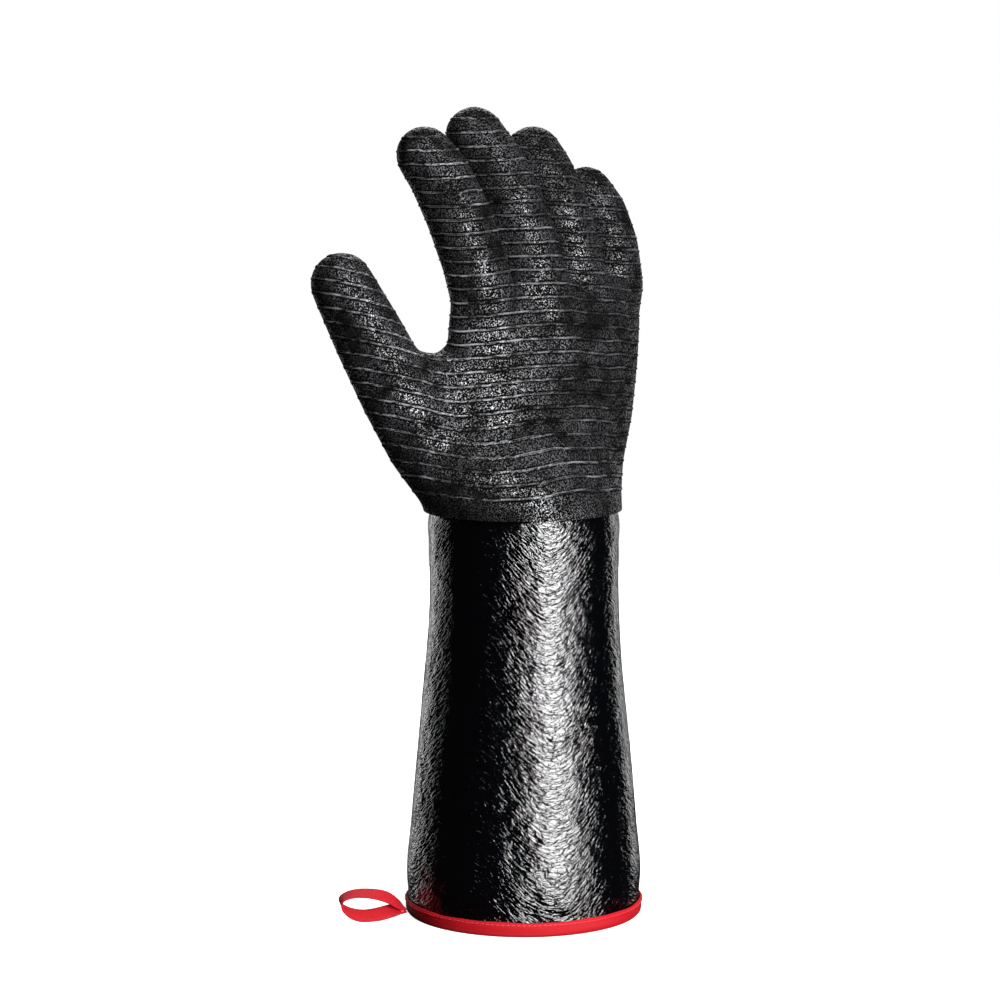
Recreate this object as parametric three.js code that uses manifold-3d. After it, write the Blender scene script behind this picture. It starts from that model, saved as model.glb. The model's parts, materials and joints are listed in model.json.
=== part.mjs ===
// A long-cuff heat resistant glove for the right hand: a rubber coat over a thermal liner.
// It stands on its cuff, with +Z from the cuff to the fingertips, +Y out of the palm and +X towards the little
// finger. Lengths are in millimetres and angles in degrees. The coat and the liner are cut at the wrist and at
// every knuckle, so each length of the hand is a rigid shell that turns on the one before it.

import * as THREE from "three";
import { mergeVertices } from "three/addons/utils/BufferGeometryUtils.js";
import Module from "manifold-3d";

// Walls. The hand is dipped twice, and the second dip ends in a hem round the wrist.
const FIRST_DIP = 1.2;
const SECOND_DIP = 0.7;
const LINER_WALL = 2.0;
const FIT_GAP = 0.3; // between two pieces that touch on the real glove
const HINGE_GAP = 0.5; // between two shells at the hinge axis they share

// Red tape that binds the cuff, its sewing thread, and the hanging loop made of the same tape.
const TAPE_WIDTH = 8;
const TAPE_WALL = 1.2;
const THREAD = 0.6;
const THREAD_BELOW_EDGE = 0.8;
const LOOP = { reach: 38, height: 16, wall: 1.0, tab: 7, steps: 20, bearing: 156, rise: 15, z: 4.2 };
const BAR_TACK = { along: 1.6, inset: 0.5, thick: 0.6, x: 4.5 };

// Cross-sections of the second dip's outer face, from the cuff up: height, centre, half width, half depth.
// Below the hem the first dip lies bare, one step further in. The cuff is straight as high as its binding.
const CUFF_RADIUS = 62.9;
const SECTIONS = [
  { z: 0, x: 0, y: 0, wide: CUFF_RADIUS, deep: CUFF_RADIUS },
  { z: TAPE_WIDTH + 1, x: 0, y: 0, wide: CUFF_RADIUS, deep: CUFF_RADIUS },
  { z: 20, x: 0, y: 0, wide: 63.7, deep: 63.7 },
  { z: 48, x: 0, y: 0, wide: 61.5, deep: 61.5 },
  { z: 81, x: 0, y: 0, wide: 58.6, deep: 58.6 },
  { z: 113, x: 0, y: 0, wide: 55.5, deep: 55.5 },
  { z: 146, x: 0, y: 0, wide: 52.5, deep: 52.5 },
  { z: 170, x: 0, y: 0, wide: 51.2, deep: 51.2 },
  { z: 208, x: 0, y: 0, wide: 51.4, deep: 51.4 },
  { z: 224, x: -2.5, y: 0, wide: 57, deep: 48 },
  { z: 240, x: -6.5, y: 2, wide: 69, deep: 43 },
  { z: 262, x: 11, y: 2.5, wide: 63, deep: 31.5 },
  { z: 290, x: 17, y: 3, wide: 63.5, deep: 26.5 },
  { z: 314, x: 18.5, y: 3, wide: 65, deep: 23 },
  { z: 329, x: 18.5, y: 3, wide: 64, deep: 18 },
  { z: 336, x: 16, y: 2, wide: 54, deep: 12 },
];
const SECTION_SIDES = 28;
const HEM_HEIGHT = 214;

// Wrist hinge, and how far the hand bends towards the palm and towards the back.
const WRIST = { y: 1, z: 240, palmward: 45, backward: 35 };

// Fingers. web is the centre of the finger between its webs, and root is how deep it is rooted below that. lean
// tips a finger towards the thumb and tilt towards the palm. The bends at rest, the lengths and the radii run
// from the knuckle to the centre of the fingertip.
const FINGERS = [
  {
    name: "index", web: [-27.5, 4, 336], root: 40, knuckleAbove: 12, lean: 10, tilt: 8,
    bends: [10, 9, 15], lengths: [26, 23, 15], radii: [16.5, 16.4, 15.8, 14.6],
  },
  {
    name: "middle", web: [6, -2, 340], root: 44, knuckleAbove: 12, lean: 10, tilt: 8,
    bends: [10, 9, 13], lengths: [26.5, 24, 20], radii: [16, 16, 15.8, 15.2],
  },
  {
    name: "ring", web: [39.8, 2, 335], root: 40, knuckleAbove: 12, lean: 6, tilt: 8,
    bends: [9, 8, 12], lengths: [25.5, 23, 13.5], radii: [15.8, 15.8, 15.6, 15],
  },
  {
    name: "little", web: [76, 9, 322], root: 20, knuckleAbove: 10, lean: 2, tilt: 4,
    bends: [5, 15, 20], lengths: [22, 18.5, 15], radii: [15, 14.8, 14.4, 14],
  },
];
const PHALANGES = ["proximal", "middle", "distal"];

// Thumb, straight from its knuckle to the centre of its tip. It folds towards foldsTo.
const THUMB = {
  name: "thumb", heel: [-35, 8, 246], heelRadius: 27, ball: [-54, 14, 256], ballRadius: 22.5,
  knuckle: [-73, 18, 280], tip: [-92, 41, 337.5], foldsTo: [0.6, 0.8, 0],
  jointShare: 0.52, bends: [0, 0], radii: [18, 16.5, 15],
  crotch: [-47, 12, 288], crotchRadius: 13,
};
const THUMB_PHALANGES = ["proximal", "distal"];

// Room for bending at each joint, counted from straight: towards the palm and towards the back.
const FINGER_ROOM = [
  { palmward: 60, backward: 10 },
  { palmward: 78, backward: 2 },
  { palmward: 64, backward: 2 },
];
const THUMB_ROOM = [
  { palmward: 36, backward: 14 },
  { palmward: 52, backward: 14 },
];
const DIGIT_SIDES = 16;
const CAP_STEPS = 3; // rings in a rounded end
const NOTCH_MARGIN = 1; // how much wider than its digit a notch in the hand is, on each side
const NOTCH_RISE = 40;
const FAR = 300; // longer than anything that is cut

const STEP = SECOND_DIP + FIT_GAP;
const COAT_IN = STEP + FIRST_DIP;
const LINER_OUT = COAT_IN + FIT_GAP;
const LINER_IN = LINER_OUT + LINER_WALL;
const BINDING_OUT = STEP - FIT_GAP - TAPE_WALL;
const THREAD_IN = BINDING_OUT - FIT_GAP;

const LAYERS = [
  { name: "coat", out: 0, in: COAT_IN },
  { name: "liner", out: LINER_OUT, in: LINER_IN },
];

const MATERIALS = {
  coat: new THREE.MeshStandardMaterial({ color: 0x18181a, roughness: 0.55, metalness: 0 }),
  sleeve: new THREE.MeshStandardMaterial({ color: 0x08080a, roughness: 0.22, metalness: 0 }),
  liner: new THREE.MeshStandardMaterial({ color: 0xd9d4c8, roughness: 0.95, metalness: 0 }),
  tape: new THREE.MeshStandardMaterial({ color: 0xd81f2a, roughness: 0.8, metalness: 0 }),
  thread: new THREE.MeshStandardMaterial({ color: 0xb8141f, roughness: 0.7, metalness: 0 }),
};

const rad = THREE.MathUtils.degToRad;
const tan = (degrees) => Math.tan(rad(degrees));
const vector = (xyz) => new THREE.Vector3().fromArray(xyz);

const wasm = await Module();
wasm.setup();

// A geometry as a solid that can be joined and cut.
function solid(geometry) {
  const bare = new THREE.BufferGeometry();
  bare.setAttribute("position", geometry.getAttribute("position"));
  bare.setIndex(geometry.index);
  const merged = mergeVertices(bare, 1e-4);
  return new wasm.Manifold(
    new wasm.Mesh({
      numProp: 3,
      vertProperties: merged.attributes.position.array,
      triVerts: new Uint32Array(merged.index.array),
    }),
  );
}

function meshOf(name, made, material) {
  const { vertProperties, triVerts } = made.getMesh();
  const geometry = new THREE.BufferGeometry();
  geometry.setAttribute("position", new THREE.BufferAttribute(new Float32Array(vertProperties), 3));
  geometry.setIndex(new THREE.BufferAttribute(new Uint32Array(triVerts), 1));
  geometry.computeVertexNormals();
  const mesh = new THREE.Mesh(geometry, material);
  mesh.name = name;
  return mesh;
}

// A closed skin over rings of equally many points, each ring anticlockwise as seen from above.
function loft(rings) {
  const sides = rings[0].length;
  const centreOf = (ring) => ring.reduce((sum, p) => sum.add(p), new THREE.Vector3()).divideScalar(sides);
  const points = [...rings.flat(), centreOf(rings[0]), centreOf(rings.at(-1))];
  const lastRing = (rings.length - 1) * sides;
  const [bottom, top] = [lastRing + sides, lastRing + sides + 1];
  const index = [];
  for (let side = 0; side < sides; side++) {
    const next = (side + 1) % sides;
    for (let row = 0; row < lastRing; row += sides) {
      index.push(row + side, row + next, row + sides + next);
      index.push(row + side, row + sides + next, row + sides + side);
    }
    index.push(bottom, next, side);
    index.push(top, lastRing + side, lastRing + next);
  }
  const geometry = new THREE.BufferGeometry().setFromPoints(points);
  geometry.setIndex(index);
  return geometry;
}

// A section drawn in by depth, at height z.
function sectionRing(section, depth, z = section.z) {
  return Array.from({ length: SECTION_SIDES }, (_, side) => {
    const angle = (side / SECTION_SIDES) * 2 * Math.PI;
    return new THREE.Vector3(
      section.x + (section.wide - depth) * Math.cos(angle),
      section.y + (section.deep - depth) * Math.sin(angle),
      z,
    );
  });
}

// Sleeve and palm in one, drawn in by depth, and running on a little below the cuff.
function sleeveAndPalm(depth) {
  const last = SECTIONS.length - 1;
  const rings = SECTIONS.map((section, i) => sectionRing(section, depth, section.z - (i === last ? depth : 0)));
  return solid(loft([sectionRing(SECTIONS[0], depth, -1), ...rings]));
}

// A band round the cuff, from one depth in to another and from one height to another.
function cuffBand(outer, inner, low, high) {
  const plug = (depth, from, to) =>
    solid(loft([sectionRing(SECTIONS[0], depth, from), sectionRing(SECTIONS[0], depth, to)]));
  return plug(outer, low, high).subtract(plug(inner, low - 1, high + 1));
}

// A round bar along +Z that tapers from radius low to radius high, with a round or a flat end at each end.
function bar(length, low, high, roundLow, roundHigh) {
  const quarter = (z, radius, from) =>
    Array.from({ length: CAP_STEPS + 1 }, (_, step) => {
      const angle = rad(from + (step * 90) / CAP_STEPS);
      return new THREE.Vector2(radius * Math.cos(angle), z + radius * Math.sin(angle));
    });
  const profile = [
    ...(roundLow ? quarter(0, low, -90) : [new THREE.Vector2(0, 0), new THREE.Vector2(low, 0)]),
    ...(roundHigh ? quarter(length, high, 0) : [new THREE.Vector2(high, length), new THREE.Vector2(0, length)]),
  ];
  profile[0].x = 0;
  profile.at(-1).x = 0;
  return new THREE.LatheGeometry(profile, DIGIT_SIDES).rotateX(Math.PI / 2);
}

// A prism along X, centred on x = 0, from an outline of [y, z] points.
function prism(outline, halfWidth) {
  const shape = new THREE.Shape(outline.map(([y, z]) => new THREE.Vector2(y, z)));
  const geometry = new THREE.ExtrudeGeometry(shape, { depth: 2 * halfWidth, bevelEnabled: false });
  const axes = new THREE.Matrix4().makeBasis(
    new THREE.Vector3(0, 1, 0),
    new THREE.Vector3(0, 0, 1),
    new THREE.Vector3(1, 0, 0),
  );
  return geometry.applyMatrix4(axes).translate(-halfWidth, 0, 0);
}

// What a hinge at height z takes off the shell below it. Half of the room for each bend is on this side.
function aboveHinge(z, room, halfWidth = FAR, rise = FAR) {
  const edge = z - HINGE_GAP / 2;
  return prism(
    [
      [-FAR, edge - FAR * tan(room.backward / 2)],
      [0, edge],
      [FAR, edge - FAR * tan(room.palmward / 2)],
      [FAR, z + rise],
      [-FAR, z + rise],
    ],
    halfWidth,
  );
}

// What a hinge at height z takes off the shell above it.
function belowHinge(z, room) {
  const edge = z + HINGE_GAP / 2;
  return prism(
    [
      [-FAR, z - FAR],
      [FAR, z - FAR],
      [FAR, edge + FAR * tan(room.palmward / 2)],
      [0, edge],
      [-FAR, edge + FAR * tan(room.backward / 2)],
    ],
    FAR,
  );
}

// One length of a digit in one layer, along +Z from its hinge. The last length has a closed, round end.
function phalanx(layer, length, low, high, roomBelow, roomAbove) {
  const last = !roomAbove;
  const outside = solid(bar(length, low - layer.out, high - layer.out, false, last));
  const inside = solid(bar(length, low - layer.in, high - layer.in, false, last));
  const shell = outside.subtract(inside).subtract(solid(belowHinge(0, roomBelow)));
  return last ? shell : shell.subtract(solid(aboveHinge(length, roomAbove)));
}

// A digit's lengths, each in a group that stands at its hinge and turns by its bend at rest.
function addDigit(start, name, parts, { bends, lengths, radii }, rooms) {
  let parent = start;
  parts.forEach((part, i) => {
    const hinge = new THREE.Group();
    hinge.name = `${name}_${part}`;
    hinge.position.z = i ? lengths[i - 1] : 0;
    hinge.rotation.x = -rad(bends[i]);
    for (const layer of LAYERS) {
      const made = phalanx(layer, lengths[i], radii[i], radii[i + 1], rooms[i], rooms[i + 1]);
      hinge.add(meshOf(`${name}_${part}_${layer.name}`, made, MATERIALS[layer.name]));
    }
    parent.add(hinge);
    parent = hinge;
  });
  return start;
}

// A finger's frame at its knuckle: +Z along the finger's root, and +Y towards the palm's side.
function fingerStart(finger) {
  const start = new THREE.Group();
  start.position.copy(vector(finger.web));
  start.rotation.y = -rad(finger.lean);
  start.rotateX(-rad(finger.tilt));
  start.translateZ(finger.knuckleAbove);
  start.updateMatrix();
  return start;
}

// The thumb's frame at its knuckle: +Z along the thumb, and +Y the way it folds.
function thumbStart() {
  const start = new THREE.Group();
  const along = vector(THUMB.tip).sub(vector(THUMB.knuckle)).normalize();
  const side = vector(THUMB.foldsTo).cross(along).normalize();
  const fold = new THREE.Vector3().crossVectors(along, side);
  start.position.copy(vector(THUMB.knuckle));
  start.quaternion.setFromRotationMatrix(new THREE.Matrix4().makeBasis(side, fold, along));
  start.updateMatrix();
  return start;
}

// A round-ended bar between two points.
function barBetween(from, to, low, high) {
  const along = to.clone().sub(from);
  const turn = new THREE.Quaternion().setFromUnitVectors(new THREE.Vector3(0, 0, 1), along.clone().normalize());
  return solid(bar(along.length(), low, high, true, true).applyQuaternion(turn).translate(from.x, from.y, from.z));
}

// The hand's own solid, drawn in by depth: the palm, the roots of the fingers and the ball of the thumb.
function handSolid(depth) {
  const roots = FINGERS.map((finger) => {
    const start = fingerStart(finger);
    const root = new THREE.Vector3(0, 0, -finger.knuckleAbove - finger.root).applyMatrix4(start.matrix);
    return barBetween(root, start.position, finger.radii[0] - depth, finger.radii[0] - depth);
  });
  const ball = vector(THUMB.ball);
  const ballRadius = THUMB.ballRadius - depth;
  roots.push(barBetween(vector(THUMB.heel), ball, THUMB.heelRadius - depth, ballRadius));
  roots.push(barBetween(ball, vector(THUMB.knuckle), ballRadius, THUMB.radii[0] - depth));
  roots.push(barBetween(ball, vector(THUMB.crotch), ballRadius, THUMB.crotchRadius - depth));
  return roots.reduce((sum, root) => sum.add(root), sleeveAndPalm(depth));
}

// The room at the first knuckle of every digit, cut out of the hand no wider than the digit.
function knuckleNotches() {
  const notch = (start, room, radius) =>
    solid(aboveHinge(0, room, radius + NOTCH_MARGIN, NOTCH_RISE).applyMatrix4(start.matrix));
  const cuts = FINGERS.map((finger) => notch(fingerStart(finger), FINGER_ROOM[0], finger.radii[0]));
  cuts.push(notch(thumbStart(), THUMB_ROOM[0], THUMB.radii[0]));
  return cuts;
}

function wristPrism(side) {
  return solid(side(WRIST.z, WRIST).translate(0, WRIST.y, 0));
}

function handShell(layer) {
  const shell = handSolid(layer.out).subtract(handSolid(layer.in)).subtract(wristPrism(belowHinge));
  return knuckleNotches().reduce((left, notch) => left.subtract(notch), shell);
}

// A tube of the sleeve between two depths, from height low up to the wrist.
function sleeveShell(outer, inner, low) {
  const below = solid(new THREE.BoxGeometry(FAR, FAR, FAR).translate(0, 0, low - FAR / 2));
  const shell = sleeveAndPalm(outer).subtract(sleeveAndPalm(inner));
  return shell.subtract(below).subtract(wristPrism(aboveHinge));
}

// A point beside the drop-shaped middle line of the loop, at an angle round it and a distance outside it.
function loopPoint(turn, outside) {
  const { reach, height, tab } = LOOP;
  const at = (t) => {
    const drop = Math.sin(t) * Math.sin(t / 2) ** 1.2 * height * (2 / 3);
    return new THREE.Vector2(tab + ((reach - tab) * (1 - Math.cos(t))) / 2, -drop);
  };
  const ahead = at(turn + 0.01).sub(at(turn - 0.01)).normalize();
  return at(turn).add(new THREE.Vector2(ahead.y, -ahead.x).multiplyScalar(outside));
}

// The hanging loop, outwards from its hinge at the cuff: a tab of two tapes, which part round the opening.
function loopGeometry() {
  const round = (from, outside) =>
    Array.from({ length: LOOP.steps + 1 }, (_, step) =>
      loopPoint(from + (step / LOOP.steps) * 2 * (Math.PI - from), outside),
    );
  const clear = LOOP.wall + FIT_GAP;
  const shape = new THREE.Shape([
    new THREE.Vector2(clear, -LOOP.wall),
    ...round(0.55, LOOP.wall / 2),
    new THREE.Vector2(clear, LOOP.wall),
  ]);
  shape.holes.push(new THREE.Path(round(0.7, -LOOP.wall / 2)));
  const geometry = new THREE.ExtrudeGeometry(shape, { depth: TAPE_WIDTH, bevelEnabled: false });
  return geometry.translate(0, 0, -TAPE_WIDTH / 2).rotateX(Math.PI / 2);
}

const glove = new THREE.Group();

// Sleeve, with the end of the hand's second dip round its top.
const hemStart = TAPE_WALL + FIT_GAP;
glove.add(meshOf("sleeve_coat", sleeveShell(STEP, COAT_IN, hemStart), MATERIALS.sleeve));
glove.add(meshOf("sleeve_liner", sleeveShell(LINER_OUT, LINER_IN, hemStart), MATERIALS.liner));
glove.add(meshOf("wrist_coat", sleeveShell(0, SECOND_DIP, HEM_HEIGHT), MATERIALS.coat));

// Binding folded over the sleeve's edge, and the thread that sews it on.
const channel = cuffBand(STEP - FIT_GAP, LINER_IN + FIT_GAP, TAPE_WALL, TAPE_WIDTH + 1);
const binding = cuffBand(BINDING_OUT, LINER_IN + FIT_GAP + TAPE_WALL, 0, TAPE_WIDTH).subtract(channel);
glove.add(meshOf("cuff_binding", binding, MATERIALS.tape));
const threadTop = TAPE_WIDTH - THREAD_BELOW_EDGE;
const thread = cuffBand(THREAD_IN - THREAD, THREAD_IN, threadTop - THREAD, threadTop);
glove.add(meshOf("binding_thread", thread, MATERIALS.thread));

// Hanging loop, in a frame whose X runs outwards from the cuff, and the bar of stitches across its tab.
const loopHinge = new THREE.Group();
loopHinge.name = "loop_hinge";
loopHinge.rotation.z = rad(LOOP.bearing);
loopHinge.translateX(CUFF_RADIUS - THREAD_IN + THREAD + FIT_GAP);
loopHinge.position.z = LOOP.z;
loopHinge.rotateY(-rad(LOOP.rise));
const loop = new THREE.Mesh(loopGeometry(), MATERIALS.tape);
loop.name = "hang_loop";
const tackWidth = TAPE_WIDTH - 2 * BAR_TACK.inset;
const tack = new THREE.Mesh(new THREE.BoxGeometry(BAR_TACK.along, tackWidth, BAR_TACK.thick), MATERIALS.thread);
tack.name = "loop_bar_tack";
tack.position.set(BAR_TACK.x, 0, LOOP.wall + FIT_GAP + BAR_TACK.thick / 2);
loopHinge.add(loop, tack);
glove.add(loopHinge);

// Hand, fingers and thumb.
for (const layer of LAYERS) {
  glove.add(meshOf(`hand_${layer.name}`, handShell(layer), MATERIALS[layer.name]));
}
for (const finger of FINGERS) {
  glove.add(addDigit(fingerStart(finger), finger.name, PHALANGES, finger, FINGER_ROOM));
}
const thumbLength = vector(THUMB.tip).distanceTo(vector(THUMB.knuckle));
const thumbLengths = [thumbLength * THUMB.jointShare, thumbLength * (1 - THUMB.jointShare)];
glove.add(addDigit(thumbStart(), THUMB.name, THUMB_PHALANGES, { ...THUMB, lengths: thumbLengths }, THUMB_ROOM));

// The origin is on the ground, under the middle of the whole glove.
const middle = new THREE.Box3().setFromObject(glove, true).getCenter(new THREE.Vector3());
glove.position.set(-middle.x, -middle.y, 0);

export default glove;
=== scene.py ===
"""Looks of a long-cuff heat resistant glove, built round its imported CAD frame.

The glove stands on its cuff, with +Z to the fingertips, +Y out of the palm and +X towards the little finger.
Lengths are in metres, and MM turns millimetres into them.
"""

import json
import math

import bpy
import numpy as np
from mathutils import Matrix, Vector


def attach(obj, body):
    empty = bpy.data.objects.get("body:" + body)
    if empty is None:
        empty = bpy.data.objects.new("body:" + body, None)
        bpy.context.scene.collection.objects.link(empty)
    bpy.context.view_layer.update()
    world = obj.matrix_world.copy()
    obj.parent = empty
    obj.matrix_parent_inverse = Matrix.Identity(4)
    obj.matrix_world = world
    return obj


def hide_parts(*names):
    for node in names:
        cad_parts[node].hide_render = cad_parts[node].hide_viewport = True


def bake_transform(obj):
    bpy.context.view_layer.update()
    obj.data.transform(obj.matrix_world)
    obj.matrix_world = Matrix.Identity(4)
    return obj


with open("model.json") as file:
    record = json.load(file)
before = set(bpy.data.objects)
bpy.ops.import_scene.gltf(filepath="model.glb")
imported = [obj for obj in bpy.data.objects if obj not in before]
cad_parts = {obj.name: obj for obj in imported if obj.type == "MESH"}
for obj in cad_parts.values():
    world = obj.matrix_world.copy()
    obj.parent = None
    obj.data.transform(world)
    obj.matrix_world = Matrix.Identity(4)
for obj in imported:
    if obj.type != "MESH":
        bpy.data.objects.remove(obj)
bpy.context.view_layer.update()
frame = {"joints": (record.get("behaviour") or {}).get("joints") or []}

MM = 0.001
JOINTS = {joint["name"]: joint for joint in frame["joints"]}
CUFF = Vector((JOINTS["wrist"]["pos_m"][0], 0, 0))

# Walls, depths and heights, near the frame's: the hem is 2.5 mm higher, the second dip 0.2 mm thicker, and the
# liner 0.2 mm thinner and 0.1 mm less deep.
FIRST_DIP = 1.2 * MM
SECOND_DIP = 0.9 * MM
DIP_STEP = 1.0 * MM
COAT_WALL = 2.2 * MM
LINER_DEPTH = 2.4 * MM
LINER_WALL = 1.8 * MM
HEM = 216.5 * MM
CUFF_TOP_INSIDE = 1.5 * MM

# Cross-sections of the palm from inside the wrist up: height, centre, half width and half depth.
# In millimetres.
PALM = [
    (200, 0, 0, 51.3, 51.3),
    (208, 0, 0, 51.4, 51.4),
    (218, -0.8, 0, 52.8, 51),
    (224, -2.5, 0, 57, 48),
    (240, -6.5, 2, 69, 43),
    (262, 11, 2.5, 63, 31.5),
    (290, 17, 3, 63.5, 26.5),
    (314, 18.5, 3, 65, 23),
    (329, 18.5, 3, 64, 18),
    (336, 16, 2, 54, 12),
]

# The sleeve's outer face: height and radius, in millimetres.
SLEEVE = [
    (0, 61.9), (9, 61.9), (20, 62.7), (48, 60.5), (81, 57.6), (113, 54.5), (146, 51.5), (170, 50.3),
    (198, 50.4), (213, 50.3), (220, 48.4),
]

# Digits: radii from the root to the tip, the depth of the root under the knuckle, the bend of the root and of
# the tip at rest in degrees, and the length of the last bone. The little finger's root is also moved aside.
# In millimetres.
FINGERS = {
    "index": {"radii": (16, 16.5, 16.4, 15.8, 14.6), "root": 52, "root_bend": 10, "tip_bend": 15, "tip": 15},
    "middle": {"radii": (15.5, 16, 16, 15.8, 15.2), "root": 56, "root_bend": 10, "tip_bend": 13, "tip": 20},
    "ring": {"radii": (15, 15.8, 15.8, 15.6, 15), "root": 52, "root_bend": 9, "tip_bend": 12, "tip": 13.5},
    "little": {
        "radii": (9, 15, 14.8, 14.4, 14), "root": 62, "aside": (-10, 1.5, 0), "root_bend": 5, "tip_bend": 20,
        "tip": 15,
    },
}
THUMB = {
    "radii": (19.3, 18, 15.8), "tip_share": 0.48 / 0.52, "flesh": (1.1, -1.0, 0),
    "heel": (-35, 8, 246, 27), "ball": (-54, 14, 256, 22.5), "crotch": (-47, 10, 286, 14),
    "web_thumb": (-66, 15, 288, 14.5), "web_palm": (-32, 6, 284, 16), "web_index": (-24, 6, 300, 14),
    "seam": (-52, 12, 301), "seam_faces": (-0.75, 0.2, 0.63), "zone": 15,
}

# What joins the thumb to the hand: pairs of lumps with a cone between them.
THUMB_LIMBS = [
    ("heel", "ball"), ("ball", "knuckle"), ("ball", "crotch"), ("web_thumb", "crotch"),
    ("crotch", "web_palm"), ("ball", "web_palm"), ("crotch", "web_index"),
]


def to_linear(code):
    """A colour from its sRGB hex code, as the shaders want it."""
    parts = [int(code[i : i + 2], 16) / 255 for i in (1, 3, 5)]
    linear = [p / 12.92 if p <= 0.04045 else ((p + 0.055) / 1.055) ** 2.4 for p in parts]
    return (*linear, 1)


# ---------------------------------------------------------------- mesh tools


def pick(obj):
    bpy.ops.object.select_all(action="DESELECT")
    obj.select_set(True)
    bpy.context.view_layer.objects.active = obj
    return obj


def modify(obj, kind, **settings):
    """Adds a modifier and applies it."""
    pick(obj)
    modifier = obj.modifiers.new(kind.title(), kind)
    for name, value in settings.items():
        setattr(modifier, name, value)
    bpy.ops.object.modifier_apply(modifier=modifier.name)
    return obj


def join(objects, name):
    bpy.ops.object.select_all(action="DESELECT")
    for obj in objects:
        obj.select_set(True)
    bpy.context.view_layer.objects.active = objects[0]
    bpy.ops.object.join()
    objects[0].name = name
    objects[0].data.name = name
    return objects[0]


def settle(obj):
    """Moves the object's place, turn and scale into its mesh."""
    pick(obj)
    bpy.ops.object.transform_apply(location=True, rotation=True, scale=True)
    return obj


def smooth(obj, angle=50):
    pick(obj)
    bpy.ops.object.shade_smooth_by_angle(angle=math.radians(angle))
    return obj


def points_of(obj):
    co = np.empty(len(obj.data.vertices) * 3)
    obj.data.vertices.foreach_get("co", co)
    return co.reshape(-1, 3)


def set_points(obj, co):
    obj.data.vertices.foreach_set("co", co.ravel())
    obj.data.update()


def face_centres(obj):
    co = np.empty(len(obj.data.polygons) * 3)
    obj.data.polygons.foreach_get("center", co)
    return co.reshape(-1, 3)


def select(obj, wanted, kind):
    """Enters edit mode with the wanted elements selected. kind is VERT or FACE."""
    pick(obj)
    bpy.ops.object.mode_set(mode="EDIT")
    bpy.ops.mesh.select_mode(type=kind)
    bpy.ops.mesh.select_all(action="DESELECT")
    bpy.ops.object.mode_set(mode="OBJECT")
    elements = obj.data.vertices if kind == "VERT" else obj.data.polygons
    elements.foreach_set("select", np.asarray(wanted, bool))
    bpy.ops.object.mode_set(mode="EDIT")


def leave_edit():
    bpy.ops.object.mode_set(mode="OBJECT")


def cut(obj, place, facing, wanted=None, keep_above=False):
    """Cuts the faces along a plane. keep_above drops what is behind the plane."""
    if wanted is None:
        wanted = np.ones(len(obj.data.polygons), bool)
    select(obj, wanted, "FACE")
    bpy.ops.mesh.bisect(plane_co=place, plane_no=facing, clear_inner=keep_above)
    leave_edit()


def take(obj, wanted, name):
    """Separates the wanted faces as a new object."""
    select(obj, wanted, "FACE")
    bpy.ops.mesh.separate(type="SELECTED")
    leave_edit()
    made = next(o for o in bpy.context.selected_objects if o != obj)
    made.name = name
    made.data.name = name
    return made


# ---------------------------------------------------------------- the hand's form


def turned(direction, axis, degrees):
    return Matrix.Rotation(math.radians(degrees), 3, axis) @ direction


def finger_bones(name):
    """A finger's points from its root to the middle of its tip, and the directions of its bones."""
    facts = FINGERS[name]
    knuckle, middle, tip_joint = (JOINTS[f"{name}_{j}"] for j in ("knuckle", "middle_joint", "tip_joint"))
    places = [Vector(j["pos_m"]) for j in (knuckle, middle, tip_joint)]
    axis = Vector(knuckle["axis"])
    bones = [(b - a).normalized() for a, b in zip(places, places[1:])]
    bones.append(turned(bones[1], axis, facts["tip_bend"]))
    root = places[0] - turned(bones[0], axis, -facts["root_bend"]) * facts["root"] * MM
    root += Vector(facts.get("aside", (0, 0, 0))) * MM
    tip = places[2] + bones[2] * facts["tip"] * MM
    return [root, *places, tip], bones


def thumb_bones():
    knuckle, tip_joint = (Vector(JOINTS[f"thumb_{j}"]["pos_m"]) for j in ("knuckle", "tip_joint"))
    span = tip_joint - knuckle
    return [knuckle, tip_joint, tip_joint + span * THUMB["tip_share"]], [span.normalized()] * 2


def add_ball(centre, radius):
    bpy.ops.mesh.primitive_uv_sphere_add(segments=40, ring_count=20, radius=radius, location=centre)
    return bpy.context.object


def add_cone(low, high, radius_low, radius_high):
    along = high - low
    bpy.ops.mesh.primitive_cone_add(
        vertices=40, radius1=radius_low, radius2=radius_high, depth=along.length,
        location=(low + high) / 2, rotation=along.to_track_quat("Z", "Y").to_euler(),
    )
    return bpy.context.object


def limb(places, radii):
    balls = [add_ball(place, radius) for place, radius in zip(places, radii)]
    cones = [add_cone(*pair) for pair in zip(places, places[1:], radii, radii[1:])]
    return balls + cones


def add_palm(inset):
    """The palm, extruded up from one cross-section to the next."""
    height, x, y, wide, deep = (value * MM for value in PALM[0])
    centre = CUFF + Vector((x, y, height))
    bpy.ops.mesh.primitive_circle_add(vertices=64, radius=1, fill_type="NGON", location=centre)
    palm = bpy.context.object
    bpy.ops.object.mode_set(mode="EDIT")
    bpy.ops.transform.resize(value=(wide - inset, deep - inset, 1), center_override=centre)
    for section in PALM[1:]:
        was = (centre, wide, deep)
        height, x, y, wide, deep = (value * MM for value in section)
        centre = CUFF + Vector((x, y, height))
        bpy.ops.mesh.extrude_region_move(TRANSFORM_OT_translate={"value": centre - was[0]})
        share = ((wide - inset) / (was[1] - inset), (deep - inset) / (was[2] - inset), 1)
        bpy.ops.transform.resize(value=share, center_override=centre)
    leave_edit()
    return palm


THIN_BY = 0.9 * MM


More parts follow.
